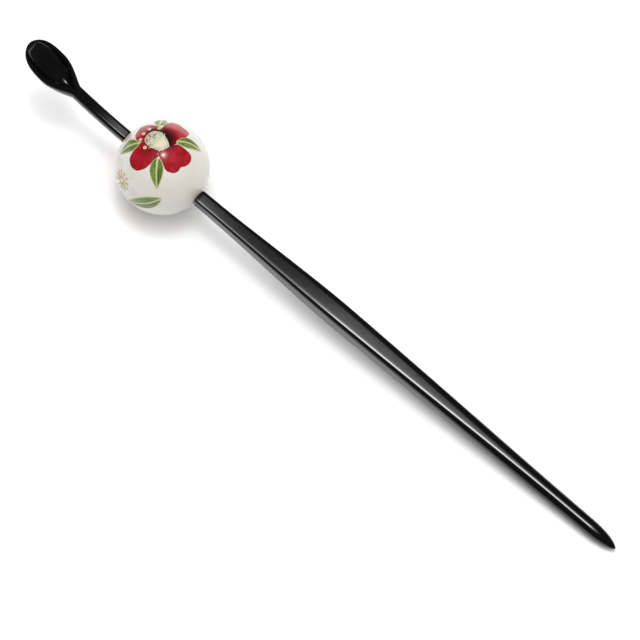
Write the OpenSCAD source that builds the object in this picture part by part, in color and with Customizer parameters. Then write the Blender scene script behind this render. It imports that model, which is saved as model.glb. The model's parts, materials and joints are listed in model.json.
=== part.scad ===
// Single-prong hair stick with a decorated ball, lying on a table.
// Sizes are in millimetres. The table is z = 0 and the leg points along +X.
// The stick and the ball are drawn about their own axis, with the ball's centre
// at the origin, and are laid down together at the end.

/* [Ball] */
// Diameter over the pearl coat
ball_d = 20; // [15:0.5:24]
// Thickness of the pearl coat
coat_t = 0.3; // [0.2:0.05:0.5]
// Depth of the small flat around each end of the bore
mouth_flat = 0.16; // [0.05:0.01:0.3]
// Height that the enamel stands above the coat
enamel_t = 0.1; // [0.06:0.01:0.2]

/* [Leg] */
// Length from the shoulder at the ball to the tip
leg_len = 115.8; // [70:0.5:140]
// Width across the flats at the shoulder
leg_shoulder_w = 3.1; // [2.7:0.1:4.2]
// Width across the flats at the thickest place
leg_max_w = 4.9; // [3.6:0.1:6.5]
// Width across the flats where the point begins
leg_tip_w = 3.45; // [2.6:0.1:4.4]
// Length of the rounded point
leg_point_len = 8.5; // [5:0.5:14]
// Distance from the shoulder to the thickest place
leg_max_at = 40; // [24:1:46]

/* [Head] */
// Length of the stem from the ball to the neck of the spoon
stem_len = 14.3; // [12:0.1:20]
// Width of the stem across its flats
stem_w = 2.7; // [2.4:0.1:3.2]
// Length of the spoon
spoon_len = 13.5; // [10:0.1:17]
// Greatest width of the spoon
spoon_w = 7.6; // [6:0.1:9.5]
// Height of the spoon from its underside to its rim
spoon_h = 4.0; // [2.8:0.1:4.8]
// Depth of the bowl below its rim
bowl_depth = 2.2; // [1:0.1:2.6]
// Width of the rim around the bowl
rim_w = 0.8; // [0.5:0.05:1]
// How far the head curves up from the stick's axis by its tip
head_rise = 5.4; // [0:0.1:6]

/* [Core pin] */
// Diameter of the pin through the ball
pin_d = 1.6; // [1.2:0.1:1.8]
// Length pressed into the head
pin_in_head = 6; // [5:0.5:7]
// Length that plugs into the leg
pin_in_leg = 14; // [8:0.5:20]
// Radial clearance of the pin in the leg's socket and in the ball's bore
pin_clearance = 0.04; // [0.02:0.01:0.1]

/* [Hidden] */

ball_r = ball_d / 2;
core_r = ball_r - coat_t;
bore_r = pin_d / 2 + pin_clearance;
mouth_x = ball_r - mouth_flat;       // plane of the flats at both ends of the bore
seat_gap = 0.03;                     // play between the ball's flats and the stick
leg_x = mouth_x + seat_gap;          // plane of the leg's shoulder
stem_x = -mouth_x - seat_gap;        // plane of the stem's end
leg_tip_x = leg_x + leg_len;
neck_x = stem_x - stem_len;
spoon_tip_x = neck_x - spoon_len;
socket_spare = 0.5;                  // free depth past the end of the pin
seam = 0.02;                         // bond line between core and coat

// --- Leg ---------------------------------------------------------------

// Smooth step from 0 to 1
function ease(t) = let (u = min(1, max(0, t))) u * u * (3 - 2 * u);

// Half width of the leg across its flats, at a distance s from the shoulder
function leg_body_half(s) = s < leg_max_at
    ? (leg_shoulder_w + (leg_max_w - leg_shoulder_w) * ease(s / leg_max_at)) / 2
    : let (t = (s - leg_max_at) / (leg_len - leg_point_len - leg_max_at))
      (leg_max_w + (leg_tip_w - leg_max_w) * pow(t, 1.15)) / 2;
function leg_point_half(s) =
    let (t = (s - leg_len + leg_point_len) / leg_point_len)
    leg_tip_w / 2 * pow(max(0, 1 - pow(t, 2.5)), 0.64);
function leg_half(s) = s < leg_len - leg_point_len ? leg_body_half(s) : leg_point_half(s);

// Share of the half width that the edge rounding takes: square near the ball,
// nearly round at the tip
function leg_round(s) = 0.34 + 0.52 * ease((s - 15) / (leg_len - 30));

// A square of half width a with its edges rounded by the share k, as a loop of points
corner_steps = 5;
function rounded_square(a, k) = [
    for (q = [0:3], i = [0:corner_steps])
        let (turn = 90 * q + 90 * i / corner_steps, side = a * (1 - k))
        [side * (q == 0 || q == 3 ? 1 : -1) + a * k * cos(turn),
         side * (q < 2 ? 1 : -1) + a * k * sin(turn)]
];

// A closed solid through rings of points, each ring in a plane across the X axis
module swept(rings) {
    n = len(rings[0]);
    m = len(rings);
    polyhedron(
        points = [for (ring = rings) each ring],
        faces = concat(
            [[for (i = [0:n - 1]) i]],
            [for (j = [0:m - 2], i = [0:n - 1])
                let (a = j * n + i, b = j * n + (i + 1) % n)
                each [[a, a + n, b + n], [a, b + n, b]]],
            [[for (i = [n - 1:-1:0]) (m - 1) * n + i]]
        )
    );
}

shoulder_round = 0.35;               // rounding of the leg's end edges
shoulder_rings = [for (i = [0:3]) 30 * i];
body_rings = 26;
point_rings = 10;
point_end = 86;                      // the last ring stops just short of a sharp point
leg_stations = concat(
    [for (i = [1:body_rings])
        shoulder_round + (leg_len - leg_point_len - shoulder_round) * i / body_rings],
    [for (i = [1:point_rings])
        leg_len - leg_point_len * (1 - sin(point_end * i / point_rings))]
);
function leg_ring(s, a) = [for (p = rounded_square(a, leg_round(s))) [leg_x + s, p[0], p[1]]];

module leg_shape() {
    swept(concat(
        [for (t = shoulder_rings)
            leg_ring(shoulder_round * (1 - cos(t)),
                     leg_half(0) - shoulder_round * (1 - sin(t)))],
        [for (s = leg_stations) leg_ring(s, leg_half(s))]
    ));
}

module leg() {
    color([0.02, 0.02, 0.02])
    lay_down()
    difference() {
        leg_shape();
        translate([leg_x - 1, 0, 0])
            x_rod(pin_in_leg + socket_spare + 1, bore_r);
    }
}

// --- Head --------------------------------------------------------------

// Places along the spoon, from the neck (0) to the tip (1)
function spoon_t(x) = (neck_x - x) / spoon_len;

// Half width: the stem flares into an egg, widest a little past its middle
widest = 0.51;
function head_half_w(x) = let (t = spoon_t(x))
    t <= 0 ? stem_w / 2 :
    t < widest
        ? (stem_w + (spoon_w - stem_w) * sin(90 * pow(t / widest, 1.12))) / 2
        : spoon_w / 2 * sqrt(max(0, 1 - pow((t - widest) / (1 - widest), 2.9)));

// Height of the rim line, which curves up all the way from the ball
function rim_z(x) = stem_w / 2 + head_rise * pow((stem_x - x) / (stem_len + spoon_len), 2);

// Height from the underside to the rim: deepest under the bowl, thin at the tip
deepest = 0.25;
function head_h(x) = let (t = spoon_t(x))
    t <= 0 ? stem_w :
    t < deepest
        ? stem_w + (spoon_h - stem_w) * ease(t / deepest)
        : rim_w + (spoon_h - rim_w) * sqrt(max(0, 1 - pow((t - deepest) / (1 - deepest), 2.4)));

// Depth of the bowl: it starts past the neck and stops a rim's width from the tip
bowl_start = 0.1;
function bowl_at(x) =
    let (end = 1 - rim_w / spoon_len, u = (spoon_t(x) - bowl_start) / (end - bowl_start))
    u <= 0 || u >= 1 ? 0 :
    min(bowl_depth * pow(sin(180 * pow(u, 0.85)), 0.6), head_h(x) - rim_w);

// Ring across the head: the lower part is a rounded belly, the upper part is the
// rim, which dips into the bowl. A bevel joins them: steep along the stem, shallow
// around the spoon. The same count of points is kept all along.
stem_bevel = 0.55;                   // share of the stem's half width
belly_steps = 14;
bowl_steps = 14;
function head_round(x) = 0.34 + 0.6 * ease(spoon_t(x) / 0.35);
function belly_point(a, h, k, top, u) =
    // u runs from 0 at the right rim to 1 at the left rim
    let (turn = 180 * u, n = 2 / (0.25 + 0.75 * k), c = cos(turn), s = sin(turn))
    [a * sign(c) * pow(abs(c), 2 / n), top - h * pow(abs(s), 2 / n)];
function head_ring(x) =
    let (a = head_half_w(x), h = head_h(x), k = head_round(x), top = rim_z(x),
         dip = bowl_at(x), lip = min(rim_w, a * stem_bevel), inner = a - lip,
         drop = lip * (1.1 - 0.6 * ease(spoon_t(x) / 0.3)))
    let (belly = [for (i = [0:belly_steps])
             let (p = belly_point(a, h - drop, k, top - drop, i / belly_steps))
             [x, p[0], p[1]]],
         bowl = [for (i = [0:bowl_steps]) let (v = 2 * i / bowl_steps - 1)
             [x, v * inner, top - dip * pow(1 - pow(abs(v), 2.4), 0.75)]],
         half = belly_steps / 2)
    // The ring starts at the middle of the underside
    concat([for (i = [half:belly_steps]) belly[i]], bowl, [for (i = [0:half - 1]) belly[i]]);

stem_rings = 10;
spoon_rings = 26;
spoon_end = 88.5;                    // the last ring stops just short of the tip
head_stations = concat(
    [for (i = [0:stem_rings]) neck_x + (stem_x - neck_x) * (1 - i / stem_rings)],
    [for (i = [1:spoon_rings]) neck_x - spoon_len * sin(spoon_end * i / spoon_rings)]
);

module head_shape() {
    swept([for (x = head_stations) head_ring(x)]);
}

module head() {
    color([0.02, 0.02, 0.02])
    lay_down()
    difference() {
        head_shape();
        translate([stem_x - pin_in_head, 0, 0])
            x_rod(pin_in_head + 1, pin_d / 2);
    }
}

// --- Core pin ----------------------------------------------------------

module x_rod(length, radius) {
    rotate([0, 90, 0])
        cylinder(h = length, r = radius, $fn = 48);
}

pin_len = pin_in_head + pin_in_leg + leg_x - stem_x;

module core_pin() {
    color([0.72, 0.73, 0.75])
    lay_down()
    translate([stem_x - pin_in_head, 0, 0])
        x_rod(pin_len, pin_d / 2);
}

// --- Ball --------------------------------------------------------------

module bored() {
    difference() {
        children();
        translate([-ball_r - 1, 0, 0])
            x_rod(ball_d + 2, bore_r);
    }
}

module between_flats() {
    intersection() {
        children();
        cube([2 * mouth_x, ball_d + 2, ball_d + 2], center = true);
    }
}

module ball_core() {
    color([0.93, 0.9, 0.84])
    lay_down()
    bored()
    between_flats()
        sphere(core_r - seam, $fn = 96);
}

module pearl_coat() {
    color([0.9, 0.88, 0.87])
    lay_down()
    bored()
    between_flats()
    difference() {
        sphere(ball_r, $fn = 96);
        sphere(core_r, $fn = 96);
    }
}

// --- Enamel decoration -------------------------------------------------

// A thin film of enamel on the coat, with the outline of its 2D children.
// lon and lat place its middle on the ball, and spin turns it about there.
film_reach = 8;
module enamel(lon, lat, spin) {
    intersection() {
        difference() {
            sphere(ball_r + enamel_t, $fn = 96);
            sphere(ball_r, $fn = 96);
        }
        rotate([0, 90 - lat, lon])
            rotate([0, 0, spin])
                translate([0, 0, ball_r - film_reach])
                    linear_extrude(height = film_reach + 1)
                        scale(ball_r / 10)
                            children();
    }
}

// Closed smooth outline through a few chosen points (Catmull-Rom)
function spline_at(p0, p1, p2, p3, t) =
    0.5 * (2 * p1 + (p2 - p0) * t + (2 * p0 - 5 * p1 + 4 * p2 - p3) * t * t
           + (3 * p1 - p0 - 3 * p2 + p3) * t * t * t);
function smooth_loop(p, steps = 4) =
    let (n = len(p))
    [for (i = [0:n - 1], j = [0:steps - 1])
        spline_at(p[(i + n - 1) % n], p[i], p[(i + 1) % n], p[(i + 2) % n], j / steps)];

// A leaf along X with its base at -length/2, its side bulging most before the middle
leaf_steps = 12;
function leaf_side(t) = pow(sin(180 * pow(t, 0.82)), 0.85);
function leaf_outline(length, width, bend) = concat(
    [for (i = [0:leaf_steps]) let (t = i / leaf_steps)
        [length * (t - 0.5), bend * 4 * t * (1 - t) + width / 2 * leaf_side(t)]],
    [for (i = [leaf_steps - 1:-1:1]) let (t = i / leaf_steps)
        [length * (t - 0.5), bend * 4 * t * (1 - t) - width / 2 * leaf_side(t)]]
);
module leaf(lon, lat, spin, length, width, bend = 0) {
    enamel(lon, lat, spin)
        polygon(leaf_outline(length, width, bend));
}

// The red flower faces up, over the middle of the ball
flower_at = [-176, 81, -143];
petal_points = [
    // upper left
    [[-4.7, 2.2], [-5.2, 3.8], [-4.8, 5.2], [-4.0, 6.4], [-2.7, 6.6], [-1.5, 6.3],
     [-0.4, 5.7], [0.35, 5.2], [0.38, 3.6], [0.4, 2.1], [-1.3, 0.6], [-3.1, 1.7], [-3.7, 1.95]],
    // upper right
    [[0.57, 5.3], [1.3, 6.5], [2.3, 7.3], [3.6, 7.1], [4.6, 6.2], [5.7, 5.2], [6.0, 4.3],
     [5.6, 3.3], [4.5, 1.9], [3.55, 1.1], [2.3, -0.02], [0.8, -0.05], [0.6, 2.1], [0.58, 3.6]],
    // lower left
    [[-3.8, 1.75], [-4.8, 0.8], [-5.8, -0.2], [-6.4, -1.4], [-6.1, -3.0], [-5.2, -4.0],
     [-4.5, -4.3], [-3.1, -4.2], [-2.0, -3.6], [-1.1, -2.8], [-0.25, -2.0], [-0.1, -1.0],
     [0, -0.3], [-1.3, 0.45], [-3.0, 1.5]],
    // lower right
    [[0.15, -1.0], [1.0, -0.3], [2.3, -0.2], [3.6, 0.84], [4.8, 0.5], [5.6, 0], [6.4, -0.7],
     [6.6, -1.5], [6.3, -2.6], [5.4, -3.5], [4.5, -3.9], [3.9, -4.7], [2.9, -5.2],
     [1.7, -5.0], [1.1, -4.5], [0.6, -3.2], [0.08, -2.0]]
];
column_points = [[-0.3, 4.1], [0.8, 3.3], [1.7, 1.8], [2.1, 0.3], [1.4, -0.3], [0.4, -0.8],
                 [-0.9, -0.4], [-2.2, 0.5], [-3.0, 1.6], [-2.9, 2.8], [-1.8, 4.0]];
column_middle = [-0.4, 1.7];
anther_places = [[-2.15, 4.87], [-0.1, 4.85], [-3.3, 3.75], [-3.95, 2.3], [-2.95, 0.2]];
anther_d = 0.95;
// Leaves around it: x, y, turn, length, width and bend of each
flower_leaves = [
    [0.15, 7.4, 80, 3.4, 2.7, 0], [-6.34, 1.22, -171.4, 4.5, 3.0, -0.4],
    [5.98, 1.2, -6.7, 5.0, 2.6, 0.55], [-0.46, -5.0, -94.5, 5.7, 2.9, -0.18]
];
print_gap = 0.12;                    // bare coat left between two enamels

module on_flower() {
    enamel(flower_at[0], flower_at[1], flower_at[2])
        children();
}

module column_shape(grow = 0) {
    polygon(smooth_loop([for (p = column_points)
        p + grow * (p - column_middle) / norm(p - column_middle)]));
}

module anthers(d) {
    for (p = anther_places)
        translate(p)
            circle(d = d, $fn = 24);
}

module flower_leaf(i, grow = 0) {
    at = flower_leaves[i];
    translate([at[0], at[1]])
        rotate(at[2])
            polygon(leaf_outline(at[3] + 2 * grow, at[4] + 2 * grow, at[5]));
}

module petal(i) {
    color([0.72, 0.03, 0.08])
    lay_down()
    on_flower()
        difference() {
            polygon(smooth_loop(petal_points[i]));
            column_shape(print_gap);
            anthers(anther_d + 2 * print_gap);
            for (k = [0:len(flower_leaves) - 1])
                flower_leaf(k, print_gap);
        }
}

module petal_upper_left() petal(0);
module petal_upper_right() petal(1);
module petal_lower_left() petal(2);
module petal_lower_right() petal(3);

module stamen_column() {
    color([0.86, 0.88, 0.74])
    lay_down()
    on_flower()
        column_shape();
}

module anther_dots() {
    color([0.95, 0.8, 0.62])
    lay_down()
    on_flower()
        difference() {
            anthers(anther_d);
            column_shape(print_gap);
        }
}

leaf_color = [0.25, 0.48, 0.16];
module leaf_top() color(leaf_color) lay_down() on_flower() flower_leaf(0);
module leaf_left() color(leaf_color) lay_down() on_flower() flower_leaf(1);
module leaf_right() color(leaf_color) lay_down() on_flower() flower_leaf(2);
module leaf_bottom() color(leaf_color) lay_down() on_flower() flower_leaf(3);
module leaf_single() color(leaf_color) lay_down() leaf(-75.5, 13.5, -48, 9.2, 3.4, 0.2);

// The red flower is repeated under the ball, clear of where the ball rests
low_flower_at = [-140, -50, -12];
module low_flower_petals() {
    color([0.72, 0.03, 0.08])
    lay_down()
    for (points = petal_points)
        enamel(low_flower_at[0], low_flower_at[1], low_flower_at[2])
            difference() {
                polygon(smooth_loop(points));
                column_shape(print_gap);
            }
}
module low_flower_stamens() {
    color([0.86, 0.88, 0.74])
    lay_down()
    enamel(low_flower_at[0], low_flower_at[1], low_flower_at[2])
        column_shape();
}

// White flowers with five notched petals around a ring of yellow stamens
white_petal_points = [[2.6, -0.65], [3.35, -1.3], [3.95, -1.15], [4.4, -0.6], [4.1, 0],
                      [4.4, 0.6], [3.95, 1.15], [3.35, 1.3], [2.6, 0.65]];
side_flower_at = [-114.7, 15.7, 28];
back_flower_at = [86, 2, 10];
module white_petals(at) {
    color([0.96, 0.95, 0.93])
    lay_down()
    for (k = [0:4])
        enamel(at[0], at[1], at[2] + 72 * k)
            polygon(smooth_loop(white_petal_points));
}
// Fine strokes that fan out from the middle, each with a rounded end
stroke_count = 11;
module yellow_stamens(at) {
    color([0.86, 0.72, 0.3])
    lay_down()
    for (k = [0:stroke_count - 1])
        enamel(at[0], at[1], at[2] + 360 / stroke_count * k)
            polygon(smooth_loop([[0.6, -0.12], [1.5, -0.16], [2.1, -0.26], [2.4, 0],
                                 [2.1, 0.26], [1.5, 0.16], [0.6, 0.12]], 2));
}
module side_flower_petals() white_petals(side_flower_at);
module side_flower_stamens() yellow_stamens(side_flower_at);
module back_flower_petals() white_petals(back_flower_at);
module back_flower_stamens() yellow_stamens(back_flower_at);
module back_flower_leaves() {
    color(leaf_color)
    lay_down() {
        leaf(129, -20, 35, 6, 2.8);
        leaf(50, -24, 100, 4.6, 2.2);
    }
}

// --- Laying the stick down ---------------------------------------------

// The ball and the leg's point both touch the table
lie_samples = [for (s = [leg_len * 0.5:0.25:leg_len]) (ball_r - leg_half(s)) / (leg_x + s)];
lie_angle = asin(min(lie_samples));
head_reach = -spoon_tip_x * cos(lie_angle) - rim_z(spoon_tip_x) * sin(lie_angle);
middle_x = (leg_tip_x * cos(lie_angle) - head_reach) / 2;

module lay_down() {
    translate([-middle_x, 0, ball_r])
        rotate([0, lie_angle, 0])
            children();
}

leg();
head();
core_pin();
ball_core();
pearl_coat();
petal_upper_left();
petal_upper_right();
petal_lower_left();
petal_lower_right();
stamen_column();
anther_dots();
leaf_top();
leaf_left();
leaf_right();
leaf_bottom();
leaf_single();
low_flower_petals();
low_flower_stamens();
side_flower_petals();
side_flower_stamens();
back_flower_petals();
back_flower_stamens();
back_flower_leaves();
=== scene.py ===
"""Looks of a single-prong hair stick with a decorated ball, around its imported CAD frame.

Shapes are written in the stick's own frame, in millimetres: the ball's centre is the
origin, +X runs along the leg, -X along the head and +Z is up. to_row() lays them down
where the CAD put the ball and its axis.
"""

import json
import math

import bpy
import numpy as np
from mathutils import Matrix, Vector
from mathutils.geometry import delaunay_2d_cdt


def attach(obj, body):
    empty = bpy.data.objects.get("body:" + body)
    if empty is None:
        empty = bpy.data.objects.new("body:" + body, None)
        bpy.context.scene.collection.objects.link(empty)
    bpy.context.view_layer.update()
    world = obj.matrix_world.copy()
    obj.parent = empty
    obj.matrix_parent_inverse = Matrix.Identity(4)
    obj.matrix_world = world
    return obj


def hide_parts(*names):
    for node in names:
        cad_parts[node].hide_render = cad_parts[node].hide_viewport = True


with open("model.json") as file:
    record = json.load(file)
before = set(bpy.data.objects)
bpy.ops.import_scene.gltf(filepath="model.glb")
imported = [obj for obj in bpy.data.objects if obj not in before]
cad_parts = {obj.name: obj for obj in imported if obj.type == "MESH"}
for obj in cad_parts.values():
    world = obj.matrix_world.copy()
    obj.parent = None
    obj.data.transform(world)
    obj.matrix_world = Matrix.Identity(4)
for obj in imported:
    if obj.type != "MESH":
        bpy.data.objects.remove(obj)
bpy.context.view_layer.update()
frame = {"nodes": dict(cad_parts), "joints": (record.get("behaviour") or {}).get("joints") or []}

# --- Sizes, in millimetres --------------------------------------------------

BALL_R = 10.0
COAT_T = 0.3
MOUTH_X = 9.84          # plane of the flats at the ends of the ball's bore
BORE_R = 0.84
MOUTH_ROUND = 0.12      # rounding of the bore's edge in the coat
LEG_X = 9.87            # plane of the leg's shoulder
STEM_X = -9.87          # plane of the stem's end
LEG_LEN = 115.8
LEG_SHOULDER_W = 3.1
LEG_MAX_W = 4.9
LEG_TIP_W = 3.45
LEG_POINT_LEN = 8.5
LEG_MAX_AT = 40.0
SOCKET_DEPTH = 14.5
STEM_LEN = 14.3
STEM_W = 2.7
SPOON_LEN = 13.5
SPOON_W = 7.6
SPOON_H = 4.0
BOWL_DEPTH = 2.2
RIM_W = 0.8
HEAD_RISE = 5.4
PIN_R = 0.8
PIN_IN_HEAD = 6.0
PIN_IN_LEG = 14.0

NECK_X = STEM_X - STEM_LEN

# --- The stick's frame ------------------------------------------------------

turn = next(j for j in frame["joints"] if j["name"] == "ball_turn")
AXIS_X = Vector(turn["axis"]).normalized()
AXIS_Y = Vector((0, 1, 0))
AXIS_Z = AXIS_X.cross(AXIS_Y).normalized()
BALL_CENTRE = Vector(turn["pos_m"])
BASIS = np.array([AXIS_X, AXIS_Y, AXIS_Z])


def to_row(points):
    """Points in the stick's frame, in mm, as points in the row frame, in metres."""
    return np.asarray(points, float) @ BASIS * 0.001 + np.array(BALL_CENTRE)


def ease(t):
    u = min(1.0, max(0.0, t))
    return u * u * (3 - 2 * u)


def mix(a, b, t):
    return a + (b - a) * t


# --- Building pieces --------------------------------------------------------


def piece(name, points, faces, material, body, nodes, attributes=None, sharp=None):
    """A mesh piece that rides on a body and stands for CAD nodes."""
    mesh = bpy.data.meshes.new(name)
    mesh.from_pydata([tuple(p) for p in to_row(points)], [], faces)
    mesh.validate()
    mesh.shade_smooth()
    if sharp is not None:
        mesh.set_sharp_from_angle(angle=math.radians(sharp))
    for key, values in (attributes or {}).items():
        layer = mesh.attributes.new(key, "FLOAT", "POINT")
        layer.data.foreach_set("value", np.asarray(values, np.float32))
    obj = bpy.data.objects.new(name, mesh)
    bpy.context.scene.collection.objects.link(obj)
    obj.data.materials.append(material)
    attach(obj, body)
    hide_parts(*nodes)


def loft(rings, closed=False):
    """Points and faces of a skin through rings of the same count. Not closed: both ends
    are capped with a fan around the ring's middle."""
    count = len(rings[0])
    points = [p for ring in rings for p in ring]
    faces = []
    steps = len(rings) if closed else len(rings) - 1
    for j in range(steps):
        a, b = j * count, (j + 1) % len(rings) * count
        for i in range(count):
            k = (i + 1) % count
            faces.append((a + i, b + i, b + k, a + k))
    if not closed:
        for j, flip in ((0, False), (len(rings) - 1, True)):
            middle = len(points)
            points.append(tuple(np.mean(np.array(rings[j]), axis=0)))
            a = j * count
            for i in range(count):
                k = (i + 1) % count
                faces.append((a + k, a + i, middle)[::-1] if flip else (a + k, a + i, middle))
    return points, faces


def lathe(profile, segments):
    """Rings around X for a closed profile of (x, radius) pairs."""
    return [
        [(x, r * math.cos(math.tau * i / segments), r * math.sin(math.tau * i / segments))
         for i in range(segments)]
        for x, r in profile
    ]


# --- Materials --------------------------------------------------------------


OVERLIT = 0.72          # the table is lit past white, so paints are darker than they look


def srgb(r, g, b):
    """A paint that looks like these 0-255 sRGB values under the studio's light."""
    def channel(v):
        v /= 255
        return OVERLIT * (v / 12.92 if v <= 0.04045 else ((v + 0.055) / 1.055) ** 2.4)
    return (channel(r), channel(g), channel(b), 1.0)


class Nodes:
    """A small helper for building a material's node tree."""

    def __init__(self, name):
        self.material = bpy.data.materials.new(name)
        self.material.use_nodes = True
        self.tree = self.material.node_tree
        self.shader = self.tree.nodes["Principled BSDF"]

    def node(self, kind, **settings):
        n = self.tree.nodes.new(kind)
        for key, value in settings.items():
            setattr(n, key, value)
        return n

    def link(self, source, target):
        if isinstance(source, (int, float, tuple)):
            target.default_value = source
        else:
            self.tree.links.new(source, target)

    def attribute(self, name):
        return self.node("ShaderNodeAttribute", attribute_name=name).outputs["Fac"]

    def math(self, operation, a, b=0.0):
        n = self.node("ShaderNodeMath", operation=operation)
        self.link(a, n.inputs[0])
        self.link(b, n.inputs[1])
        return n.outputs[0]

    def band(self, value, low, high):
        """0 below low, 1 above high, smooth between."""
        n = self.node("ShaderNodeMapRange", interpolation_type="SMOOTHSTEP")
        self.link(value, n.inputs["Value"])
        n.inputs["From Min"].default_value = low
        n.inputs["From Max"].default_value = high
        return n.outputs["Result"]

    def blend(self, factor, a, b):
        n = self.node("ShaderNodeMix", data_type="RGBA")
        self.link(factor, n.inputs[0])
        self.link(a, n.inputs[6])
        self.link(b, n.inputs[7])
        return n.outputs[2]

    def vector(self, x, y):
        n = self.node("ShaderNodeCombineXYZ")
        self.link(x, n.inputs["X"])
        self.link(y, n.inputs["Y"])
        return n.outputs[0]

    def place(self, scale=1000.0):
        """Object coordinates, in millimetres when scale is 1000."""
        coordinates = self.node("ShaderNodeTexCoord")
        n = self.node("ShaderNodeVectorMath", operation="SCALE")
        self.link(coordinates.outputs["Object"], n.inputs[0])
        n.inputs["Scale"].default_value = scale
        return n.outputs[0]

    def noise(self, vector, scale, detail=3.0, roughness=0.55):
        n = self.node("ShaderNodeTexNoise")
        self.link(vector, n.inputs["Vector"])
        n.inputs["Scale"].default_value = scale
        n.inputs["Detail"].default_value = detail
        n.inputs["Roughness"].default_value = roughness
        return n.outputs["Fac"]

    def bump(self, height, strength, distance):
        n = self.node("ShaderNodeBump")
        self.link(height, n.inputs["Height"])
        n.inputs["Strength"].default_value = strength
        n.inputs["Distance"].default_value = distance
        self.tree.links.new(n.outputs[0], self.shader.inputs["Normal"])

    def finish(self, colour, roughness, coat=0.0, coat_roughness=0.03, ior=1.5, metallic=0.0,
               specular=0.5):
        inputs = self.shader.inputs
        self.link(colour, inputs["Base Color"])
        self.link(roughness, inputs["Roughness"])
        inputs["Coat Weight"].default_value = coat
        inputs["Coat Roughness"].default_value = coat_roughness
        inputs["IOR"].default_value = ior
        inputs["Metallic"].default_value = metallic
        inputs["Specular IOR Level"].default_value = specular
        return self.material


def black_acrylic():
    m = Nodes("black_acrylic")
    at = m.place()
    cloud = m.noise(at, 0.35, 3.0)
    fine = m.noise(at, 2.2, 4.0)
    colour = m.blend(cloud, srgb(7, 7, 8), srgb(14, 14, 13))
    roughness = m.math("ADD", m.math("MULTIPLY", fine, 0.06), 0.035)
    m.bump(m.noise(at, 0.5, 2.0), 0.12, 0.00004)
    return m.finish(colour, roughness)


def pearl():
    m = Nodes("pearl")
    at = m.place()
    cloud = m.noise(at, 0.16, 2.0)
    fine = m.noise(at, 1.4, 4.0)
    colour = m.blend(cloud, srgb(240, 235, 229), srgb(243, 239, 222))
    colour = m.blend(m.math("MULTIPLY", fine, 0.35), colour, srgb(236, 229, 229))
    roughness = m.math("ADD", m.math("MULTIPLY", fine, 0.12), 0.3)
    m.bump(m.noise(at, 0.4, 2.0), 0.1, 0.00003)
    return m.finish(colour, roughness, coat=0.8, coat_roughness=0.06, specular=0.35)


def resin():
    m = Nodes("resin")
    at = m.place()
    cloud = m.noise(at, 0.5, 3.0)
    colour = m.blend(cloud, srgb(236, 229, 212), srgb(222, 213, 192))
    roughness = m.math("ADD", m.math("MULTIPLY", cloud, 0.15), 0.35)
    m.bump(m.noise(at, 3.0, 3.0), 0.1, 0.00003)
    return m.finish(colour, roughness)


def steel():
    m = Nodes("steel")
    at = m.place()
    stretched = m.node("ShaderNodeMapping")
    m.link(at, stretched.inputs["Vector"])
    stretched.inputs["Scale"].default_value = (0.3, 6.0, 6.0)
    streaks = m.noise(stretched.outputs[0], 1.5, 4.0)
    colour = m.blend(streaks, srgb(176, 178, 180), srgb(206, 207, 209))
    roughness = m.math("ADD", m.math("MULTIPLY", streaks, 0.15), 0.22)
    m.bump(streaks, 0.15, 0.00002)
    return m.finish(colour, roughness, metallic=1.0)


ENAMEL = {"coat": 0.8, "coat_roughness": 0.035, "specular": 0.2}


def red_enamel():
    """Deep red with a pale rim, a dark outline, and shade towards the flower's middle."""
    m = Nodes("red_enamel")
    x, y = m.attribute("flower_x"), m.attribute("flower_y")
    at = m.vector(x, y)
    cloud = m.noise(at, 0.45, 2.0)
    fine = m.noise(at, 2.6, 4.0)
    colour = m.blend(m.band(cloud, 0.4, 0.62), srgb(160, 6, 24), srgb(192, 24, 46))
    # Lighter, warmer red high on the flower
    high = m.band(m.math("ADD", m.math("MULTIPLY", x, 0.9), y), 4.5, 9.0)
    colour = m.blend(m.math("MULTIPLY", high, 0.85), colour, srgb(198, 62, 58))
    # Mottled pigment
    pale, dark = m.band(fine, 0.52, 0.75), m.band(fine, 0.5, 0.28)
    colour = m.blend(m.math("MULTIPLY", pale, 0.35), colour, srgb(208, 44, 54))
    colour = m.blend(m.math("MULTIPLY", dark, 0.4), colour, srgb(132, 4, 20))
    # Shade around the stamens, nearly black above and to the right of them
    dx, dy = m.math("ADD", x, 0.1), m.math("ADD", y, -1.6)
    squares = m.math("ADD", m.math("MULTIPLY", dx, dx), m.math("MULTIPLY", dy, dy))
    reach = m.math("SQRT", squares)
    ragged = m.math("ADD", reach, m.math("MULTIPLY", m.math("ADD", fine, -0.5), 2.2))
    upper = m.band(m.math("ADD", m.math("MULTIPLY", x, 0.9), y), 0.6, 3.0)
    strength = m.math("ADD", m.math("MULTIPLY", upper, 0.45), 0.35)
    wide = m.math("MULTIPLY", m.band(ragged, 5.0, 2.9), strength)
    colour = m.blend(wide, colour, srgb(70, 6, 22))
    strength = m.math("ADD", m.math("MULTIPLY", upper, 0.7), 0.2)
    close = m.math("MULTIPLY", m.band(ragged, 3.3, 2.3), strength)
    colour = m.blend(close, colour, srgb(26, 8, 10))
    # Dark line inside the outer edge, then a pale rim. Neither is drawn where petals meet
    edge = m.math("ADD", m.attribute("edge"), m.band(reach, 4.2, 3.4))
    colour = m.blend(m.math("MULTIPLY", m.band(edge, 0.34, 0.16), 0.6), colour, srgb(112, 8, 20))
    colour = m.blend(m.band(edge, 0.13, 0.05), colour, srgb(226, 176, 174))
    roughness = m.math("ADD", m.math("MULTIPLY", fine, 0.15), 0.25)
    m.bump(fine, 0.12, 0.00003)
    return m.finish(colour, roughness, **ENAMEL)


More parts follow.
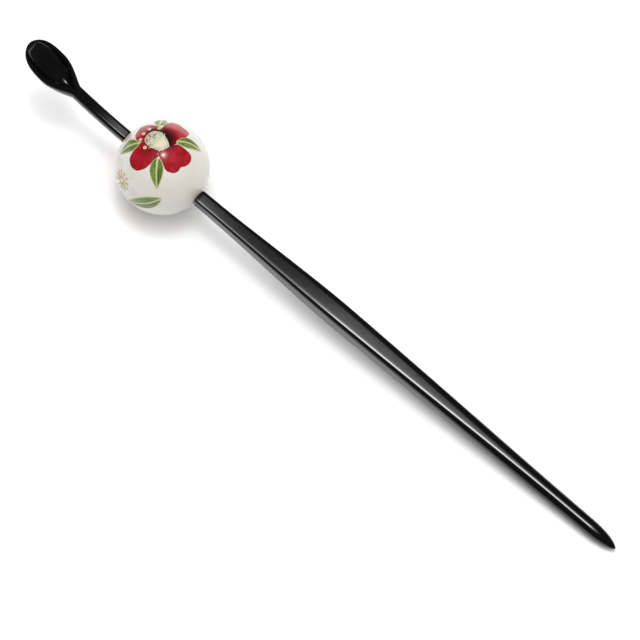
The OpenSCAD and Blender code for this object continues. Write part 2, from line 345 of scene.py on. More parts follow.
def green_enamel():
    """Green with a yellow-green rim, a pale midrib and faint side veins."""
    m = Nodes("green_enamel")
    along, across = m.attribute("along"), m.attribute("across")
    edge = m.attribute("edge")
    at = m.vector(along, across)
    cloud = m.noise(at, 0.7, 3.0)
    fine = m.noise(at, 3.0, 4.0)
    colour = m.blend(m.band(cloud, 0.35, 0.65), srgb(88, 112, 46), srgb(128, 152, 74))
    side = m.math("ABSOLUTE", across)
    colour = m.blend(m.math("MULTIPLY", m.band(across, -0.1, 0.3), 0.5), colour, srgb(74, 100, 36))
    # Side veins slant back from the midrib
    slant = m.math("SUBTRACT", along, m.math("MULTIPLY", side, 1.1))
    veins = m.math("ABSOLUTE", m.math("SINE", m.math("MULTIPLY", slant, 4.4)))
    colour = m.blend(m.math("MULTIPLY", m.band(veins, 0.34, 0.05), 0.6), colour, srgb(146, 164, 92))
    colour = m.blend(m.math("MULTIPLY", m.band(fine, 0.5, 0.3), 0.4), colour, srgb(70, 92, 38))
    colour = m.blend(m.band(edge, 0.2, 0.08), colour, srgb(190, 198, 134))
    rib = m.math("SUBTRACT", 0.17, m.math("MULTIPLY", along, 0.012))
    rib = m.math("SUBTRACT", side, rib)
    colour = m.blend(m.band(rib, 0.06, -0.06), colour, srgb(206, 208, 148))
    roughness = m.math("ADD", m.math("MULTIPLY", fine, 0.15), 0.25)
    m.bump(m.math("ADD", fine, m.band(rib, 0.1, -0.1)), 0.15, 0.00003)
    return m.finish(colour, roughness, **ENAMEL)


def cream_enamel():
    """The brush of stamens: cream filaments over a grey-green ground."""
    m = Nodes("cream_enamel")
    fan, reach = m.attribute("fan"), m.attribute("reach")
    raised, edge = m.attribute("raised"), m.attribute("edge")
    at = m.vector(m.math("MULTIPLY", fan, 9.0), m.math("MULTIPLY", reach, 0.5))
    strand = m.noise(at, 1.6, 3.0)
    fine = m.noise(m.vector(m.math("MULTIPLY", fan, 4.0), reach), 2.4, 4.0)
    ground = m.blend(m.band(strand, 0.38, 0.62), srgb(160, 170, 140), srgb(208, 210, 184))
    # Dark gaps open between the filaments towards their tips
    gaps = m.math("MULTIPLY", m.band(strand, 0.5, 0.4), m.band(reach, 2.9, 4.2))
    ground = m.blend(m.math("MULTIPLY", gaps, 0.85), ground, srgb(52, 44, 24))
    ground = m.blend(m.band(edge, 0.22, 0.08), ground, srgb(236, 224, 184))
    line = m.blend(m.band(fine, 0.4, 0.65), srgb(224, 218, 186), srgb(246, 238, 212))
    colour = m.blend(m.band(raised, 0.35, 0.65), ground, line)
    roughness = m.math("ADD", m.math("MULTIPLY", fine, 0.15), 0.28)
    m.bump(fine, 0.15, 0.00003)
    return m.finish(colour, roughness, **ENAMEL)


def peach_enamel():
    """Anthers: a peach ring around a paler middle, inside a thin dark outline."""
    m = Nodes("peach_enamel")
    edge = m.attribute("edge")
    at = m.vector(m.attribute("flower_x"), m.attribute("flower_y"))
    fine = m.noise(at, 4.0, 3.0)
    colour = m.blend(m.band(fine, 0.4, 0.6), srgb(238, 190, 150), srgb(248, 216, 180))
    colour = m.blend(m.band(edge, 0.24, 0.32), colour, srgb(184, 108, 72))
    colour = m.blend(m.band(edge, 0.33, 0.38), colour, srgb(246, 230, 194))
    colour = m.blend(m.band(edge, 0.1, 0.05), colour, srgb(74, 26, 20))
    roughness = m.math("ADD", m.math("MULTIPLY", fine, 0.15), 0.28)
    m.bump(fine, 0.1, 0.00003)
    return m.finish(colour, roughness, **ENAMEL)


def yellow_enamel():
    m = Nodes("yellow_enamel")
    edge = m.attribute("edge")
    at = m.vector(m.attribute("flower_x"), m.attribute("flower_y"))
    fine = m.noise(at, 3.0, 3.0)
    colour = m.blend(m.band(fine, 0.35, 0.65), srgb(206, 184, 112), srgb(236, 220, 160))
    colour = m.blend(m.band(edge, 0.08, 0.02), colour, srgb(168, 140, 78))
    roughness = m.math("ADD", m.math("MULTIPLY", fine, 0.15), 0.28)
    m.bump(fine, 0.1, 0.00003)
    return m.finish(colour, roughness, **ENAMEL)


def white_enamel():
    m = Nodes("white_enamel")
    edge = m.attribute("edge")
    at = m.vector(m.attribute("flower_x"), m.attribute("flower_y"))
    cloud = m.noise(at, 0.8, 3.0)
    fine = m.noise(at, 3.0, 4.0)
    colour = m.blend(cloud, srgb(238, 233, 230), srgb(232, 228, 222))
    colour = m.blend(m.math("MULTIPLY", m.band(edge, 0.14, 0.04), 0.4), colour, srgb(226, 220, 208))
    roughness = m.math("ADD", m.math("MULTIPLY", fine, 0.15), 0.28)
    m.bump(fine, 0.1, 0.00003)
    return m.finish(colour, roughness, **ENAMEL)


BLACK, PEARL, RESIN, STEEL = black_acrylic(), pearl(), resin(), steel()
RED, GREEN, CREAM = red_enamel(), green_enamel(), cream_enamel()
PEACH, YELLOW, WHITE = peach_enamel(), yellow_enamel(), white_enamel()

# --- Leg --------------------------------------------------------------------


SECTION_STEPS = 26      # points on each quarter of the leg's section
LEG_STEPS = 150
POINT_STEPS = 32
SHOULDER_ROUND = 0.38
SOCKET_LIP = 0.1
BLIND_END = 0.35        # length of the drilled cone at a hole's blind end
CLOSED_R = 0.05         # radius of the ring that closes an end


def leg_half(s):
    if s < LEG_MAX_AT:
        return mix(LEG_SHOULDER_W, LEG_MAX_W, ease(s / LEG_MAX_AT)) / 2
    body = LEG_LEN - LEG_POINT_LEN
    if s < body:
        return mix(LEG_MAX_W, LEG_TIP_W, ((s - LEG_MAX_AT) / (body - LEG_MAX_AT)) ** 1.15) / 2
    t = (s - body) / LEG_POINT_LEN
    return LEG_TIP_W / 2 * max(0.0, 1 - t ** 2.5) ** 0.64


def leg_section(s):
    """A square of half width 1 with crowned faces, as a superellipse walked by its normal:
    flat-sided near the ball, nearly round at the tip."""
    n = mix(7.6, 2.45, ease((s - 15) / (LEG_LEN - 30)))
    u = np.linspace(0, 1, SECTION_STEPS + 1)[:-1]
    # Closer steps where the normal turns slowly, in the middle of the faces
    turns = math.pi / 2 * (u - 0.15 * np.sin(math.tau * u))
    c, d = np.cos(turns), np.sin(turns)
    size = (c ** (n / (n - 1)) + d ** (n / (n - 1))) ** (1 / n)
    y, z = c ** (1 / (n - 1)) / size, d ** (1 / (n - 1)) / size
    ring = []
    for turn_y, turn_z in ((1, 0), (0, 1), (-1, 0), (0, -1)):
        ring += [(turn_y * a - turn_z * b, turn_z * a + turn_y * b) for a, b in zip(y, z)]
    return np.array(ring)


def build_leg():
    rings = []

    def ring(x, a, s):
        rings.append([(LEG_X + x, a * y, a * z) for y, z in leg_section(s)])

    half = leg_half(0)
    # The socket is open at the shoulder: its wall is walked out from the blind end
    angles = [math.atan2(z, y) for y, z in leg_section(0)]
    for x, r in ((SOCKET_DEPTH + BLIND_END, CLOSED_R), (SOCKET_DEPTH, BORE_R),
                 (SOCKET_DEPTH * 0.5, BORE_R), (SOCKET_LIP, BORE_R),
                 (0.02, BORE_R + SOCKET_LIP * 0.8)):
        rings.append([(LEG_X + x, r * math.cos(a), r * math.sin(a)) for a in angles])
    # The shoulder is flat, with rounded edges
    for k in range(1, 5):
        ring(0.0, mix(BORE_R + SOCKET_LIP, half - SHOULDER_ROUND, k / 4), 0)
    for k in range(1, 9):
        t = math.radians(90 * k / 8)
        ring(SHOULDER_ROUND * (1 - math.cos(t)), half - SHOULDER_ROUND * (1 - math.sin(t)), 0)
    body = LEG_LEN - LEG_POINT_LEN
    for k in range(1, LEG_STEPS + 1):
        s = SHOULDER_ROUND + (body - SHOULDER_ROUND) * k / LEG_STEPS
        ring(s, leg_half(s), s)
    for k in range(1, POINT_STEPS + 1):
        s = body + LEG_POINT_LEN * math.sin(math.radians(88.5 * k / POINT_STEPS))
        ring(s, leg_half(s), s)
    points, faces = loft(rings)
    piece("leg_stick", points, faces, BLACK, "leg", ["leg"], sharp=50)


build_leg()

# --- Head -------------------------------------------------------------------


def spoon_t(x):
    return (NECK_X - x) / SPOON_LEN


WIDEST = 0.51           # shares of the spoon's length, from the neck
DEEPEST = 0.25


def head_half_w(x):
    t = spoon_t(x)
    if t <= 0:
        return STEM_W / 2
    if t < WIDEST:
        return mix(STEM_W, SPOON_W, math.sin(math.pi / 2 * (t / WIDEST) ** 1.12)) / 2
    return SPOON_W / 2 * math.sqrt(max(0.0, 1 - ((t - WIDEST) / (1 - WIDEST)) ** 2.9))


def rim_z(x):
    return STEM_W / 2 + HEAD_RISE * ((STEM_X - x) / (STEM_LEN + SPOON_LEN)) ** 2


def head_h(x):
    t = spoon_t(x)
    if t <= 0:
        return STEM_W
    if t < DEEPEST:
        return mix(STEM_W, SPOON_H, ease(t / DEEPEST))
    return RIM_W + (SPOON_H - RIM_W) * math.sqrt(
        max(0.0, 1 - ((t - DEEPEST) / (1 - DEEPEST)) ** 2.4))


BOWL_START = 0.0        # share of the spoon's length


def bowl_at(x):
    end = 1 - RIM_W / SPOON_LEN
    u = (spoon_t(x) - BOWL_START) / (end - BOWL_START)
    if u <= 0 or u >= 1:
        return 0.0
    return min(BOWL_DEPTH * math.sin(math.pi * u ** 0.85) ** 0.6, head_h(x) - RIM_W)


BELLY_STEPS = 48
BOWL_STEPS = 48
LIP_STEPS = 8
STEM_STEPS = 24
SPOON_STEPS = 90
STEM_BEVEL = 0.55       # share of the stem's half width
STEM_END_ROUND = 0.18


def head_ring(x):
    """Belly, rounded lips and bowl at one place along the head."""
    a, h, top, dip = head_half_w(x), head_h(x), rim_z(x), bowl_at(x)
    power = 0.25 + 0.75 * (0.34 + 0.6 * ease(spoon_t(x) / 0.35))
    lip = min(RIM_W, a * STEM_BEVEL)
    low = lip * (1.1 - 0.6 * ease(spoon_t(x) / 0.3))
    ring = []
    for i in range(BELLY_STEPS + 1):
        t = math.pi * i / BELLY_STEPS
        c, s = math.cos(t), math.sin(t)
        ring.append((x, a * math.copysign(abs(c) ** power, c),
                     top - low - (h - low) * abs(s) ** power))
    inner = a - lip
    # The lip is a rounded edge from the belly's side to the top of the rim
    for k in range(1, LIP_STEPS):
        t = math.radians(90 * k / LIP_STEPS)
        ring.append((x, -a + lip * (1 - math.cos(t)), top - low * (1 - math.sin(t))))
    # The bowl opens from a point at the neck to its full width
    full = 0.12 + 0.88 * ease((spoon_t(x) - BOWL_START) / 0.3)
    for i in range(BOWL_STEPS + 1):
        v = 2 * i / BOWL_STEPS - 1
        u = min(1.0, abs(v) / full)
        ring.append((x, v * inner, top - dip * (1 - u ** 2.4) ** 0.75))
    for k in range(LIP_STEPS - 1, 0, -1):
        t = math.radians(90 * k / LIP_STEPS)
        ring.append((x, a - lip * (1 - math.cos(t)), top - low * (1 - math.sin(t))))
    return ring


def build_head():
    rings = []
    stations = [STEM_X - STEM_LEN * k / STEM_STEPS for k in range(1, STEM_STEPS + 1)]
    stations += [NECK_X - SPOON_LEN * math.sin(math.radians(89.2 * k / SPOON_STEPS))
                 for k in range(1, SPOON_STEPS + 1)]
    first = np.array(head_ring(STEM_X))
    angles = [math.atan2(z, y) for _, y, z in first]
    # The pin's hole, walked out from its blind end
    for depth, r in ((PIN_IN_HEAD + 0.3, CLOSED_R), (PIN_IN_HEAD, PIN_R),
                     (PIN_IN_HEAD * 0.5, PIN_R), (0.0, PIN_R)):
        rings.append([(STEM_X - depth, r * math.cos(a), r * math.sin(a)) for a in angles])
    for k in range(1, 4):
        a = mix(0.62, 1 - STEM_END_ROUND / (STEM_W / 2), k / 3)
        rings.append([(STEM_X, a * y, a * z) for _, y, z in first])
    for k in range(1, 5):
        t = math.radians(90 * k / 4)
        a = 1 - STEM_END_ROUND * (1 - math.sin(t)) / (STEM_W / 2)
        x = STEM_X - STEM_END_ROUND * (1 - math.cos(t))
        rings.append([(x, a * y, a * z) for _, y, z in first])
    rings += [head_ring(x) for x in stations]
    points, faces = loft([ring[::-1] for ring in rings])
    piece("head_stick", points, faces, BLACK, "head", ["head"], sharp=50)


build_head()

# --- Core pin and ball ------------------------------------------------------


def build_pin():
    x0, x1, bevel = STEM_X - PIN_IN_HEAD, LEG_X + PIN_IN_LEG, 0.2
    profile = [(x0, CLOSED_R), (x0, PIN_R - bevel), (x0 + 0.06, PIN_R - 0.06),
               (x0 + bevel, PIN_R)]
    profile += [(mix(x0 + bevel, x1 - bevel, k / 12), PIN_R) for k in range(1, 12)]
    profile += [(x1 - bevel, PIN_R), (x1 - 0.06, PIN_R - 0.06), (x1, PIN_R - bevel),
                (x1, CLOSED_R)]
    points, faces = loft([ring[::-1] for ring in lathe(profile, 48)])
    piece("core_rod", points, faces, STEEL, "head", ["core_pin"], sharp=40)


def build_coat():
    """The coat is a ring of profile: out over the ball, in through the bore's mouths."""
    flat_r = math.sqrt(BALL_R ** 2 - MOUTH_X ** 2)
    start = math.degrees(math.asin(flat_r / BALL_R))
    outer = []
    for k in range(121):
        t = math.radians(mix(start, 180 - start, k / 120))
        outer.append((BALL_R * math.cos(t), BALL_R * math.sin(t)))
    profile = []
    # Rounded edge of the bore, the flat, the outside, and the same at the far end
    for k in range(5):
        t = math.radians(90 * k / 4)
        profile.append((MOUTH_X - MOUTH_ROUND * (1 - math.sin(t)),
                        BORE_R + MOUTH_ROUND * (1 - math.cos(t))))
    profile.append((MOUTH_X, mix(BORE_R, flat_r, 0.6)))
    profile += outer
    profile += [(-x, r) for x, r in profile[:6][::-1]]
    inner_r = BALL_R - COAT_T
    reach = math.sqrt(inner_r ** 2 - BORE_R ** 2)
    profile.append((-reach, BORE_R))
    for k in range(1, 48):
        t = math.pi - math.asin(BORE_R / inner_r)
        t = mix(t, math.pi - t, k / 48)
        profile.append((inner_r * math.cos(t), inner_r * math.sin(t)))
    profile.append((reach, BORE_R))
    points, faces = loft(lathe(profile, 160), closed=True)
    piece("pearl_skin", points, faces, PEARL, "ball", ["pearl_coat"], sharp=35)


build_pin()
build_coat()
core = frame["nodes"]["ball_core"]
core.data.materials.clear()
core.data.materials.append(RESIN)

# --- Enamel -----------------------------------------------------------------

FILM_TOP = 0.075        # how far the enamel stands above the coat
FILM_ROUND = 0.2        # width of the rounded edge
FILM_UNDER = 0.04       # how far it reaches into the coat, so that no gap shows
EDGE_RINGS = (0.12, 0.4, 0.8)   # rows of points in the rounded edge, as shares of its width


def tangent_frame(lon, lat, spin):
    """Unit vectors of an outline's plane, touching the ball at lon and lat."""
    lo, la, sp = (math.radians(v) for v in (lon, lat, spin))
    out = np.array([math.cos(la) * math.cos(lo), math.cos(la) * math.sin(lo), math.sin(la)])
    south = np.array([math.sin(la) * math.cos(lo), math.sin(la) * math.sin(lo), -math.cos(la)])
    east = np.array([-math.sin(lo), math.cos(lo), 0.0])
    u = math.cos(sp) * south + math.sin(sp) * east
    v = -math.sin(sp) * south + math.cos(sp) * east
    return u, v, out


def on_ball(at, flat, radius):
    u, v, out = tangent_frame(*at)
    depth = np.sqrt(BALL_R ** 2 - (flat ** 2).sum(1))
    directions = (flat[:, :1] * u + flat[:, 1:] * v + depth[:, None] * out) / BALL_R
    return directions * np.asarray(radius).reshape(-1, 1)


def smooth_loop(corners, steps=12):
    """Closed Catmull-Rom curve through a few points."""
    p = np.array(corners, float)
    n = len(p)
    curve = []
    for i in range(n):
        a, b, c, d = p[i - 1], p[i], p[(i + 1) % n], p[(i + 2) % n]
        for j in range(steps):
            t = j / steps
            curve.append(0.5 * (2 * b + (c - a) * t + (2 * a - 5 * b + 4 * c - d) * t * t
                                + (3 * b - a - 3 * c + d) * t ** 3))
    return np.array(curve)


def evenly(loop, spacing):
    """The same loop with its points a fixed distance apart."""
    closed = np.vstack([loop, loop[:1]])
    lengths = np.concatenate([[0], np.cumsum(np.linalg.norm(np.diff(closed, axis=0), axis=1))])
    count = max(12, int(round(lengths[-1] / spacing)))
    at = np.arange(count) * lengths[-1] / count
    return np.stack([np.interp(at, lengths, closed[:, 0]),
                     np.interp(at, lengths, closed[:, 1])], 1)


def edge_distance(points, loop):
    a, b = loop, np.roll(loop, -1, 0)
    ab = b - a
    best = np.full(len(points), 1e9)
    for start, along in zip(a, ab):
        t = np.clip(((points - start) @ along) / (along @ along), 0, 1)
        best = np.minimum(best, np.linalg.norm(points - start - t[:, None] * along, axis=1))
    return best


def inside(points, loop):
    x, y = points[:, 0], points[:, 1]
    result = np.zeros(len(points), bool)
    previous = loop[-1]
    for current in loop:
        crosses = (current[1] > y) != (previous[1] > y)
        with np.errstate(divide="ignore", invalid="ignore"):
            at = (previous[0] - current[0]) * (y - current[1]) / (previous[1] - current[1])
        result ^= crosses & (x < at + current[0])
        previous = current
    return result


def film(at, loop, spacing=0.22, top=FILM_TOP, rounding=FILM_ROUND, lift=0.0):
    """A closed thin solid on the ball: a pillow over the outline. Returns its points,
    its faces, and for each point its place in the plane and its distance to the edge."""
    loop = evenly(loop, min(spacing, 0.12))
    signed = np.sum(loop[:, 0] * np.roll(loop[:, 1], -1) - np.roll(loop[:, 0], -1) * loop[:, 1])
    if signed < 0:
        loop = loop[::-1]
    n = len(loop)
    low, high = loop.min(0), loop.max(0)
    grid = []
    row = 0
    y = low[1]
    while y < high[1]:
        x = low[0] + (spacing / 2 if row % 2 else 0)
        while x < high[0]:
            grid.append((x, y))
            x += spacing
        y += spacing * 0.866
        row += 1
    inner = np.array(grid) if grid else np.zeros((0, 2))
    tangent = np.roll(loop, -1, 0) - np.roll(loop, 1, 0)
    normal = np.stack([-tangent[:, 1], tangent[:, 0]], 1)
    normal /= np.linalg.norm(normal, axis=1)[:, None]
    rings = [loop + normal * rounding * share for share in EDGE_RINGS]
    extra = np.vstack(rings)
    keep = inside(extra, loop)
    extra = extra[keep]
    want = np.concatenate([np.full(n, rounding * share) for share in EDGE_RINGS])[keep]
    extra = extra[edge_distance(extra, loop) > want * 0.85]
    if len(inner):
        inner = inner[inside(inner, loop)]
    if len(inner):
        inner = inner[edge_distance(inner, loop) > rounding * 0.8 + spacing * 0.35]
    flat = np.vstack([loop, extra, inner])
    edges = [(i, (i + 1) % n) for i in range(n)]
    out = delaunay_2d_cdt([Vector(p) for p in flat], edges, [], 1, 1e-5)
    flat = np.array([tuple(p) for p in out[0]])
    triangles = [tuple(f) for f in out[2]]
    distance = edge_distance(flat, loop)
    t = 1 - np.clip(distance / rounding, 0, 1)
    height = lift + top * np.sqrt(np.clip(1 - t ** 2, 0, 1))
    over = on_ball(at, flat, BALL_R + height)
    under = on_ball(at, flat, np.full(len(flat), BALL_R - FILM_UNDER))
    count = len(flat)
    faces = []
    uses = {}
    for a, b, c in triangles:
        p, q, r = flat[a], flat[b], flat[c]
        if (q[0] - p[0]) * (r[1] - p[1]) - (q[1] - p[1]) * (r[0] - p[0]) < 0:
            b, c = c, b
        faces.append((a, b, c))
        faces.append((count + a, count + c, count + b))
        for i, j in ((a, b), (b, c), (c, a)):
            uses[(i, j)] = True
    for i, j in list(uses):
        if (j, i) not in uses:
            faces.append((i, count + i, count + j, j))
    return (np.vstack([over, under]), faces, np.vstack([flat, flat]),
            np.concatenate([distance, distance]))


def joined(parts):
    """Several films as one set of points and faces."""
    points, faces, flats, edges = [], [], [], []
    base = 0
    for p, f, flat, edge in parts:
        points.append(p)
        faces += [tuple(i + base for i in face) for face in f]
        flats.append(flat)
        edges.append(edge)
        base += len(p)
    return np.vstack(points), faces, np.vstack(flats), np.concatenate(edges)


# Where each flower is: longitude, latitude and turn, in degrees
FLOWER_AT = (-176, 81, -143)
LOW_FLOWER_AT = (-140, -50, -12)
SIDE_FLOWER_AT = (-114.7, 15.7, 28)
BACK_FLOWER_AT = (86, 2, 10)
PETALS = {
    "petal_upper_left": [
        (-4.7, 2.2), (-5.2, 3.8), (-4.8, 5.2), (-4.0, 6.4), (-2.7, 6.6), (-1.5, 6.3),
        (-0.4, 5.7), (0.4, 5.2), (0.46, 3.6), (0.46, 2.1), (-1.3, 0.6), (-3.1, 1.6), (-3.7, 1.85)],
    "petal_upper_right": [
        (0.52, 5.3), (1.3, 6.5), (2.3, 7.3), (3.6, 7.1), (4.6, 6.2), (5.7, 5.2), (6.0, 4.3),
        (5.6, 3.3), (4.5, 1.9), (3.55, 1.06), (2.3, -0.1), (0.8, -0.1), (0.52, 2.1), (0.5, 3.6)],
    "petal_lower_left": [
        (-3.8, 1.75), (-4.8, 0.8), (-5.8, -0.2), (-6.4, -1.4), (-6.1, -3.0), (-5.2, -4.0),
        (-4.5, -4.3), (-3.1, -4.2), (-2.0, -3.6), (-1.1, -2.8), (-0.15, -2.0), (0.0, -1.0),
        (0.1, -0.3), (-1.3, 0.5), (-3.0, 1.55)],
    "petal_lower_right": [
        (0.05, -1.0), (1.0, -0.2), (2.3, -0.12), (3.6, 0.9), (4.8, 0.5), (5.6, 0.0),
        (6.4, -0.7), (6.6, -1.5), (6.3, -2.6), (5.4, -3.5), (4.5, -3.9), (3.9, -4.7),
        (2.9, -5.2), (1.7, -5.0), (1.1, -4.5), (0.6, -3.2), (0.0, -2.0)],
}
COLUMN = [(-0.3, 4.1), (0.8, 3.3), (1.7, 1.8), (2.1, 0.3), (1.4, -0.3), (0.4, -0.8),
          (-0.9, -0.4), (-2.2, 0.5), (-3.0, 1.6), (-2.9, 2.8), (-1.8, 4.0)]
ANTHERS = [(-2.15, 4.87), (-0.1, 4.85), (-3.3, 3.75), (-3.95, 2.3), (-2.95, 0.2), (-2.34, 2.39)]
ANTHER_D = 0.95
OVER_PETALS = 0.06      # lift of what is printed on top of the petals
HERE = (0, 0)           # a leaf that is in the middle of its own tangent frame


def plane_attributes(flat, edge):
    return {"flower_x": flat[:, 0], "flower_y": flat[:, 1], "edge": edge}


def build_petals(name, nodes, at, outlines):
    points, faces, flat, edge = joined([film(at, smooth_loop(o)) for o in outlines])
    piece(name, points, faces, RED, "ball", nodes, plane_attributes(flat, edge))


def build_column(name, node, at):
    """A low patch with raised filaments that fan out from its foot."""
    foot = np.array([2.1, -0.6])
    parts = [film(at, smooth_loop(COLUMN), spacing=0.2, top=0.04, lift=OVER_PETALS)]
    raised = [np.zeros(len(parts[0][0]))]
    strands = 12
    for k in range(strands):
        share = k / (strands - 1)
        angle = math.radians(mix(103, 173, share))
        length = mix(4.15, 4.75, math.sin(math.pi * share)) + (0.25 if k % 2 else 0.0)
        side = np.array([-math.sin(angle), math.cos(angle)])
        ahead = np.array([math.cos(angle), math.sin(angle)])
        start, width = (1.1 if k % 2 else 1.5), 0.12
        bow = mix(0.45, -0.35, share)
        left, right = [], []
        for j in range(9):
            t = j / 8
            middle = foot + ahead * mix(start, length, t) + side * bow * math.sin(math.pi * t)
            half = width * (0.45 + 0.55 * math.sin(math.pi * min(1.0, t * 0.9 + 0.12)))
            left.append(middle + side * half)
            right.append(middle - side * half)
        outline = np.array(left + right[::-1])
        part = film(at, outline, spacing=0.12, top=0.035, rounding=0.08,
                    lift=OVER_PETALS + 0.035)
        parts.append(part)
        raised.append(np.ones(len(part[0])))
    points, faces, flat, edge = joined(parts)
    away = flat - foot
    attributes = {
        "fan": np.arctan2(away[:, 1], away[:, 0]),
        "reach": np.linalg.norm(away, axis=1),
        "raised": np.concatenate(raised),
        "edge": edge,
    }
    piece(name, points, faces, CREAM, "ball", [node], attributes)


def circle(centre, diameter, count=32):
    t = np.arange(count) * math.tau / count
    return np.stack([centre[0] + diameter / 2 * np.cos(t), centre[1] + diameter / 2 * np.sin(t)], 1)


def build_anthers(name, node, at):
    parts = [film(at, circle(p, ANTHER_D), spacing=0.1, top=0.06, rounding=0.16, lift=0.1)
             for p in ANTHERS]
    points, faces, flat, edge = joined(parts)
    piece(name, points, faces, PEACH, "ball", [node],
          plane_attributes(flat, edge))


def leaf_outline(length, width, bend):
    def side(t):
        return max(0.0, math.sin(math.pi * t ** 0.82)) ** 0.85
    steps = 40
    over, under = [], []
    for i in range(steps + 1):
        t = i / steps
        middle = bend * 4 * t * (1 - t)
        over.append((length * (t - 0.5), middle + width / 2 * side(t)))
        under.append((length * (t - 0.5), middle - width / 2 * side(t)))
    return np.array(over + under[-2:0:-1])


def build_leaves(name, node, leaves):
    """Each leaf has a tangent frame, its middle and turn there, and its own shape."""
    parts, along, across = [], [], []
    for at, middle, turned, length, width, bend in leaves:
        c, d = math.cos(math.radians(turned)), math.sin(math.radians(turned))
        turn_by = np.array([[c, d], [-d, c]])
        outline = leaf_outline(length, width, bend) @ turn_by + np.array(middle)
        part = film(at, outline, spacing=0.16, lift=OVER_PETALS)
        own = (part[2] - np.array(middle)) @ turn_by.T
        t = own[:, 0] / length + 0.5
        parts.append(part)
        along.append(own[:, 0])
        across.append(own[:, 1] - bend * 4 * t * (1 - t))
    points, faces, flat, edge = joined(parts)
    piece(name, points, faces, GREEN, "ball", [node],
          {"along": np.concatenate(along), "across": np.concatenate(across), "edge": edge})


WHITE_PETAL = [(2.6, -0.65), (3.35, -1.3), (3.95, -1.15), (4.4, -0.6), (4.1, 0), (4.4, 0.6),
               (3.95, 1.15), (3.35, 1.3), (2.6, 0.65)]
STROKE = [(0.6, -0.15), (1.5, -0.2), (2.1, -0.34), (2.45, 0), (2.1, 0.34), (1.5, 0.2),
          (0.6, 0.15)]
STROKES = 11


def build_white_flower(side, at):
    petals = [film((at[0], at[1], at[2] + 72 * k), smooth_loop(WHITE_PETAL), top=0.05)
              for k in range(5)]
    points, faces, flat, edge = joined(petals)
    piece(side + "_white_petals", points, faces, WHITE, "ball", [side + "_flower_petals"],
          plane_attributes(flat, edge))
    strokes = [film((at[0], at[1], at[2] + 360 / STROKES * k), smooth_loop(STROKE, 6),
                    spacing=0.12, top=0.06, rounding=0.1) for k in range(STROKES)]
    points, faces, flat, edge = joined(strokes)
    piece(side + "_yellow_strokes", points, faces, YELLOW, "ball", [side + "_flower_stamens"],
          plane_attributes(flat, edge))


for petal, outline in PETALS.items():
    build_petals("enamel_" + petal, [petal], FLOWER_AT, [outline])
build_column("enamel_column", "stamen_column", FLOWER_AT)
build_anthers("enamel_anthers", "anther_dots", FLOWER_AT)
build_leaves("enamel_leaf_top", "leaf_top", [(FLOWER_AT, (0.15, 7.4), 80, 3.4, 2.7, 0)])
build_leaves("enamel_leaf_left", "leaf_left",
             [(FLOWER_AT, (-6.34, 1.22), -171.4, 4.5, 3.0, -0.4)])
build_leaves("enamel_leaf_right", "leaf_right",
             [(FLOWER_AT, (5.98, 1.2), -6.7, 5.0, 2.6, 0.55)])
build_leaves("enamel_leaf_bottom", "leaf_bottom",
             [(FLOWER_AT, (-0.46, -5.0), -94.5, 5.7, 2.9, -0.18)])
build_leaves("enamel_leaf_single", "leaf_single", [((-75.5, 13.5, -48), HERE, 0, 9.2, 3.4, 0.2)])
build_petals("low_red_petals", ["low_flower_petals"], LOW_FLOWER_AT, list(PETALS.values()))
build_column("low_column", "low_flower_stamens", LOW_FLOWER_AT)
build_white_flower("side", SIDE_FLOWER_AT)
build_white_flower("back", BACK_FLOWER_AT)
build_leaves("back_leaves", "back_flower_leaves",
             [((129, -20, 35), HERE, 0, 6, 2.8, 0), ((50, -24, 100), HERE, 0, 4.6, 2.2, 0)])

# --- Floor, light and camera ------------------------------------------------

CAMERA_AZIMUTH = math.radians(41.07)
CAMERA_ELEVATION = math.radians(68.0)
CAMERA_DISTANCE = 6.0
VIEW_WIDTH = 0.13403        # width of the picture at the ball, in metres
BALL_RIGHT = -0.03292       # where the ball's centre is from the picture's middle
BALL_UP = 0.03192


def build_floor():
    half, cut = 1.5, 24
    points, faces = [], []
    for j in range(cut + 1):
        for i in range(cut + 1):
            points.append((-half + 2 * half * i / cut, -half + 2 * half * j / cut, 0.0))
    for j in range(cut):
        for i in range(cut):
            a = j * (cut + 1) + i
            faces.append((a, a + 1, a + cut + 2, a + cut + 1))
    mesh = bpy.data.meshes.new("floor")
    mesh.from_pydata(points, [], faces)
    floor = bpy.data.objects.new("floor", mesh)
    bpy.context.scene.collection.objects.link(floor)
    m = Nodes("floor_white")
    cloud = m.noise(m.place(1.0), 6.0, 2.0)
    floor.data.materials.append(m.finish(
        m.blend(cloud, (0.9, 0.9, 0.9, 1), (0.92, 0.92, 0.92, 1)), 0.85, ior=1.3))


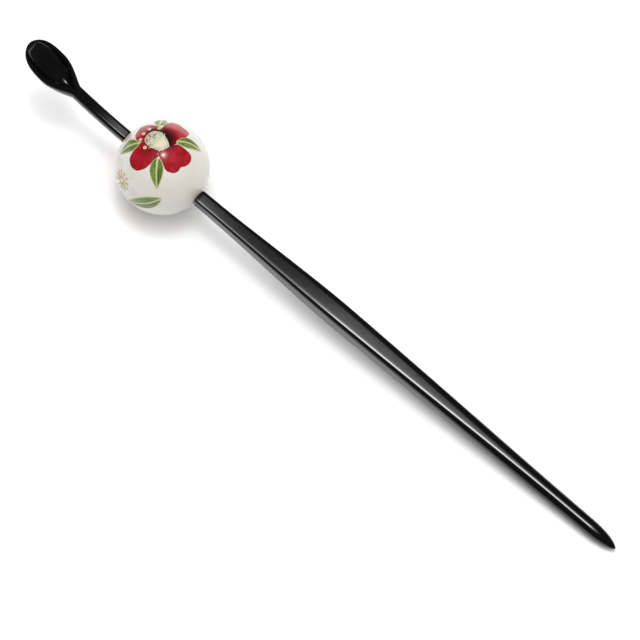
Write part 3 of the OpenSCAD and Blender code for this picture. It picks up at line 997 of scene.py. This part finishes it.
def build_sky():
    """A dark studio with one soft glow overhead. The glow's strength falls off with
    the angle from its middle, in degrees."""
    glow = [(0, 22.0), (2.5, 22.0), (4, 9.0), (6, 5.0), (8, 3.2), (9.2, 2.2), (10.4, 0.8),
            (12, 0.3), (14, 0.08), (60, 0.06), (80, 0.12), (90, 0.16)]
    top = glow[0][1]
    world = bpy.data.worlds.new("studio")
    bpy.context.scene.world = world
    world.use_nodes = True
    tree = world.node_tree
    coordinates = tree.nodes.new("ShaderNodeTexCoord")
    dot = tree.nodes.new("ShaderNodeVectorMath")
    dot.operation = "DOT_PRODUCT"
    tree.links.new(coordinates.outputs["Generated"], dot.inputs[0])
    dot.inputs[1].default_value = Vector((-0.076, 0.126, 0.989)).normalized()
    angle = tree.nodes.new("ShaderNodeMath")
    angle.operation = "ARCCOSINE"
    tree.links.new(dot.outputs["Value"], angle.inputs[0])
    share = tree.nodes.new("ShaderNodeMath")
    share.operation = "MULTIPLY"
    share.inputs[1].default_value = 1 / math.radians(90)
    tree.links.new(angle.outputs[0], share.inputs[0])
    ramp = tree.nodes.new("ShaderNodeValToRGB")
    tree.links.new(share.outputs[0], ramp.inputs[0])
    stops = ramp.color_ramp.elements
    while len(stops) < len(glow):
        stops.new(0.5)
    for stop, (degrees, strength) in zip(stops, glow):
        stop.position = degrees / 90
        v = strength / top
        stop.color = (v, v, v, 1)
    background = tree.nodes["Background"]
    tree.links.new(ramp.outputs[0], background.inputs["Color"])
    background.inputs["Strength"].default_value = top


def build_light(name, at, size, watts):
    light = bpy.data.lights.new(name, "AREA")
    light.shape = "SQUARE"
    light.size = size
    light.energy = watts
    obj = bpy.data.objects.new(name, light)
    bpy.context.scene.collection.objects.link(obj)
    obj.location = at
    obj.rotation_euler = (-Vector(at)).to_track_quat("-Z", "Y").to_euler()
    obj.visible_glossy = False
    obj.visible_camera = False


def build_camera():
    a, e = CAMERA_AZIMUTH, CAMERA_ELEVATION
    back = Vector((math.sin(a) * math.cos(e), -math.cos(a) * math.cos(e), math.sin(e)))
    right = Vector((math.cos(a), math.sin(a), 0))
    up = back.cross(right)
    data = bpy.data.cameras.new("camera")
    data.sensor_width = 36.0
    data.lens = 36.0 * CAMERA_DISTANCE / VIEW_WIDTH
    data.clip_start, data.clip_end = 0.01, 20.0
    camera = bpy.data.objects.new("camera", data)
    bpy.context.scene.collection.objects.link(camera)
    target = BALL_CENTRE - right * BALL_RIGHT - up * BALL_UP
    camera.location = target + back * CAMERA_DISTANCE
    camera.rotation_euler = back.to_track_quat("Z", "Y").to_euler()
    bpy.context.scene.camera = camera


build_floor()
build_sky()
build_light("overhead_soft", (-0.15, 0.17, 1.0), 0.8, 4.6)
build_light("wide_fill", (0.0, 0.0, 1.0), 2.4, 23.0)
build_camera()
bpy.context.scene.view_settings.view_transform = "Standard"
